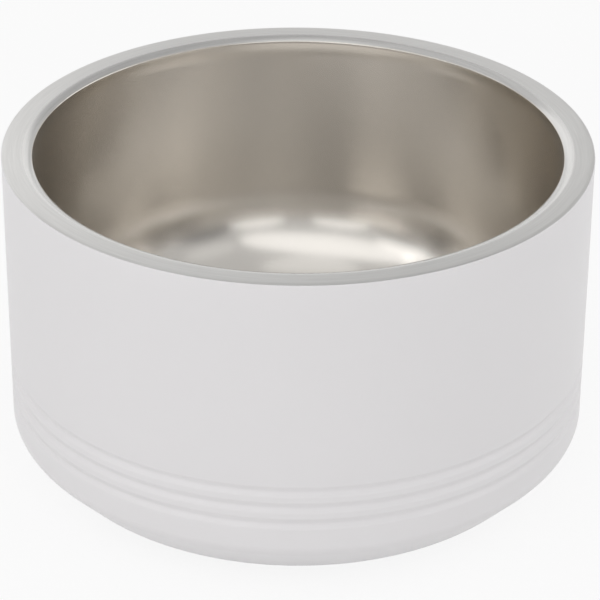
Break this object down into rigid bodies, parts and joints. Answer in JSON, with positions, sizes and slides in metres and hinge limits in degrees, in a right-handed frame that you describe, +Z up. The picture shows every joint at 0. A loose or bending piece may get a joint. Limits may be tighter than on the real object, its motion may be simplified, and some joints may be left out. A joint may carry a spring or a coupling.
{
  "type": "pet bowl",
  "caption": "Round double-wall insulated pet bowl with a straight white outer wall, rolled grooves above a bevelled foot, a bare steel lip and a satin steel inside.",
  "frame": {"origin": "centre of the foot ring's underside, on the surface that the bowl stands on", "axes": "+Z up along the bowl's axis, out of its mouth; X and Y are free, as the bowl is round"},
  "size_m": [0.156, 0.156, 0.091],
  "materials": {
    "white_powder_coat": "fine orange-peel powder coat, soft sheen",
    "satin_stainless": "satin, with faint round brushing",
    "weld_steel": "as welded",
    "plain_steel": "mill finish",
    "cap_steel": "round brushed",
    "sealing_glass": "dark fused bead",
    "silicone": "matte moulded silicone",
    "adhesive_tape": "matte acrylic tape",
    "getter": "grainy sintered metal"
  },
  "bodies": {
    "root": {"outer_shell": "white_powder_coat", "inner_bowl": "satin_stainless", "rim_weld": "weld_steel", "base_disc": "plain_steel", "base_weld": "weld_steel", "seal_glass": "sealing_glass", "base_cap": "cap_steel", "foot_ring": "silicone", "foot_tape": "adhesive_tape", "getter_pill": "getter", "getter_clip": "plain_steel"}
  },
  "joints": []
}
